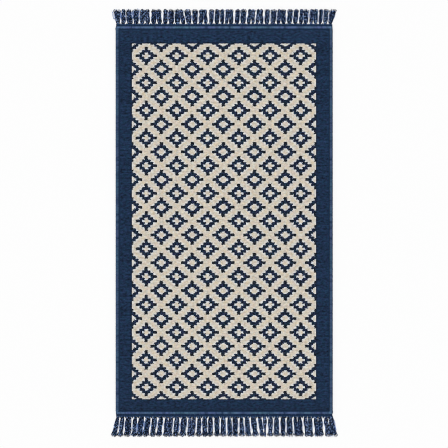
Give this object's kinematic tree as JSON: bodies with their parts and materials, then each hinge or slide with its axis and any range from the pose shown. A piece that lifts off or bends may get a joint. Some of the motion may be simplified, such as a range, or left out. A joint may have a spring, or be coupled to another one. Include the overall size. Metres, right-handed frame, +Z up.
{
  "type": "reversible kilim rug",
  "caption": "Flat-woven rectangular rug with a rounded edge binding on every side and a tasselled fringe at both ends, lying flat on the floor.",
  "frame": {"origin": "on the flat underside, at the middle of the cloth measured without its tassels", "axes": "+X across the rug to the picture's right, +Y along the rug to the end with the shorter tassels, +Z up from the floor"},
  "size_m": [0.6188, 1.1812, 0.006],
  "materials": {
    "woven_cloth": "thick matt flatweave, cream field with stepped navy diamonds and a plain navy border, the same on both faces",
    "edge_binding": "matt blue yarn wound over the edge",
    "fringe_yarn": "matt dark navy twisted yarn"
  },
  "bodies": {
    "root": {"woven_panel": "woven_cloth", "binding_left": "edge_binding", "binding_right": "edge_binding", "binding_top": "edge_binding", "binding_bottom": "edge_binding", "fringe_top": "fringe_yarn", "fringe_bottom": "fringe_yarn"}
  },
  "joints": []
}
